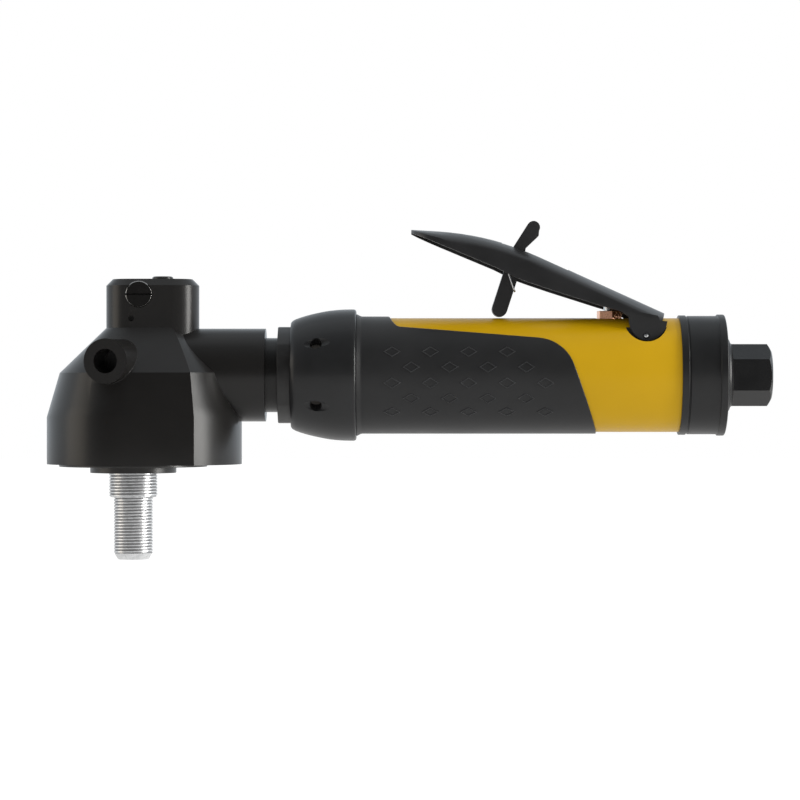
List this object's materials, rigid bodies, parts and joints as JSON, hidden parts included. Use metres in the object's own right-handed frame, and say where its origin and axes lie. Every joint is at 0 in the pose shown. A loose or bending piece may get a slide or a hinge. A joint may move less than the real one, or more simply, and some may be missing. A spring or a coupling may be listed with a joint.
{
  "type": "right angle die grinder",
  "caption": "Right angle air die grinder: angle head with threaded spindle, lever throttle with lock link, gripped motor housing and threaded air inlet.",
  "frame": {"origin": "centre of the spindle at the shoulder between its work thread and its collar thread", "axes": "-Z along the spindle, out of the head; +X along the handle towards the air inlet"},
  "size_m": [0.2555, 0.064, 0.1193],
  "materials": {
    "cast_black": "black anodised aluminium, fine satin",
    "machined_black": "black oxide steel",
    "bell_black": "black anodised aluminium, satin",
    "inlet_black": "black oxide steel, glossy",
    "grip_rubber": "matte moulded rubber",
    "housing_yellow": "yellow powder coat on aluminium, semi gloss",
    "lever_black": "black coated steel, semi gloss",
    "bright_steel": "bright steel",
    "plate_iron": "fine cast iron, ground",
    "copper_bronze": "coppery bronze",
    "vane_laminate": "phenolic laminate",
    "seal_rubber": "nitrile rubber",
    "felt": "felt"
  },
  "bodies": {
    "tool_body": {"angle_head_housing": "cast_black", "top_plug": "machined_black", "side_plug": "machined_black", "bearing_cover": "machined_black", "dust_seal": "seal_rubber", "lower_bearing_outer_race": "bright_steel", "lower_bearing_balls": "bright_steel", "upper_needle_cup": "bright_steel", "upper_needles": "bright_steel", "pinion_bearing_outer_races": "bright_steel", "pinion_bearing_balls": "bright_steel", "pinion_bearing_spacer": "bright_steel", "pinion_retaining_ring": "bright_steel", "coupling_nut": "machined_black", "exhaust_bell": "bell_black", "silencer_ring": "felt", "grip_sleeve": "grip_rubber", "motor_housing": "housing_yellow", "cylinder_liner": "bright_steel", "front_end_plate": "plate_iron", "rear_end_plate": "plate_iron", "motor_bearing_outer_races": "bright_steel", "motor_bearing_balls": "bright_steel", "cylinder_dowel": "bright_steel", "motor_washer": "bright_steel", "rear_collar": "bell_black", "inlet_washer": "bright_steel", "inlet_bushing": "inlet_black", "inlet_screen": "bright_steel", "valve_seat": "copper_bronze", "valve_bushing": "copper_bronze", "plunger_seal": "seal_rubber", "lever_pin": "bright_steel"},
    "spindle_unit": {"spindle": "bright_steel", "bevel_gear": "bright_steel", "gear_nut": "bright_steel", "gear_key": "bright_steel", "dust_flange": "machined_black", "lower_bearing_inner_race": "bright_steel"},
    "rotor_unit": {"pinion_shaft": "bright_steel", "pinion_bearing_inner_races": "bright_steel", "rotor": "bright_steel", "rotor_vanes": "vane_laminate", "motor_bearing_inner_races": "bright_steel"},
    "lever_unit": {"lever": "lever_black", "link_pin": "bright_steel"},
    "lock_link_unit": {"lock_link": "lever_black", "link_spring": "bright_steel"},
    "plunger_unit": {"plunger": "bright_steel"},
    "valve_unit": {"tip_valve": "seal_rubber", "tip_valve_spring": "bright_steel"}
  },
  "joints": [
    {"name": "spindle_spin", "type": "hinge", "parent": "tool_body", "child": "spindle_unit", "pos_m": [0, 0, 0], "axis": [0, 0, 1], "continuous": true},
    {"name": "rotor_spin", "type": "hinge", "parent": "tool_body", "child": "rotor_unit", "pos_m": [0, 0, 0.0431], "axis": [1, 0, 0], "continuous": true},
    {"name": "lever_pivot", "type": "hinge", "parent": "tool_body", "child": "lever_unit", "pos_m": [0.1803, 0, 0.0567], "axis": [0, -1, 0], "range_deg": [0, 12], "stiffness_Nm_per_rad": 2, "springref_deg": -11.46},
    {"name": "lock_link_fold", "type": "hinge", "parent": "lever_unit", "child": "lock_link_unit", "pos_m": [0.1343, 0, 0.0817], "axis": [0, 1, 0], "range_deg": [0, 84]},
    {"name": "plunger_press", "type": "slide", "parent": "tool_body", "child": "plunger_unit", "axis": [0, 0, -1], "range_m": [0, 0.0036]},
    {"name": "valve_tilt", "type": "hinge", "parent": "tool_body", "child": "valve_unit", "pos_m": [0.1845, 0, 0.0486], "axis": [0, -1, 0], "range_deg": [0, 12]}
  ],
  "couplings": [
    {"joint": "rotor_spin", "follows": "spindle_spin", "ratio": 2.0769},
    {"joint": "lock_link_fold", "follows": "lever_pivot", "ratio": 7},
    {"joint": "plunger_press", "follows": "lever_pivot", "m_per_rad": 0.017},
    {"joint": "valve_tilt", "follows": "lever_pivot", "ratio": 1}
  ]
}
